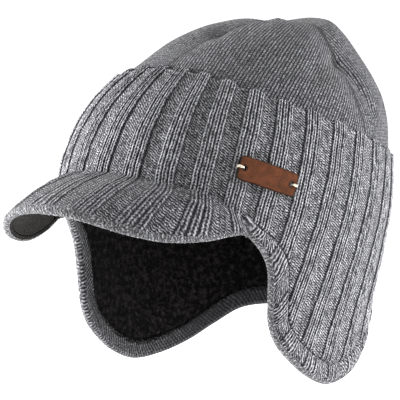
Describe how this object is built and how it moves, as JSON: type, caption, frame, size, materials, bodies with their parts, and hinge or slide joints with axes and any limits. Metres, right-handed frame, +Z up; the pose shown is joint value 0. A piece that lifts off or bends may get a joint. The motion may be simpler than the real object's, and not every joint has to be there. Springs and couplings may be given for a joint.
{
  "type": "earflap cap",
  "caption": "Knitted cap with a puffy crown, a ribbed band and peak, pile-lined earflaps and nape, and a bare leather label.",
  "frame": {"origin": "centre of the head opening, level with the brow, where a head holds the cap", "axes": "+Z up to the crown, -Y forwards along the peak, +X towards the wearer's left"},
  "size_m": [0.186, 0.2663, 0.2115],
  "materials": {
    "crown_jersey": "fine melange jersey knit, mid to dark grey, matt",
    "band_rib_knit": "chunky chain rib knit, grey melange, matt",
    "hem_knit": "slanted rib knit, grey melange, matt",
    "underside_cloth": "fine ribbed dark brown-grey cloth, matt",
    "black_pile": "short dense black pile, soft sheen",
    "brown_leather": "plain brown leather, satin",
    "label_thread": "cream sewing thread, matt"
  },
  "bodies": {
    "root": {"crown": "crown_jersey", "rib_band": "band_rib_knit", "flap_hem": "hem_knit", "peak": "band_rib_knit", "peak_underside": "underside_cloth", "pile_lining": "black_pile", "leather_label": "brown_leather"}
  },
  "joints": []
}
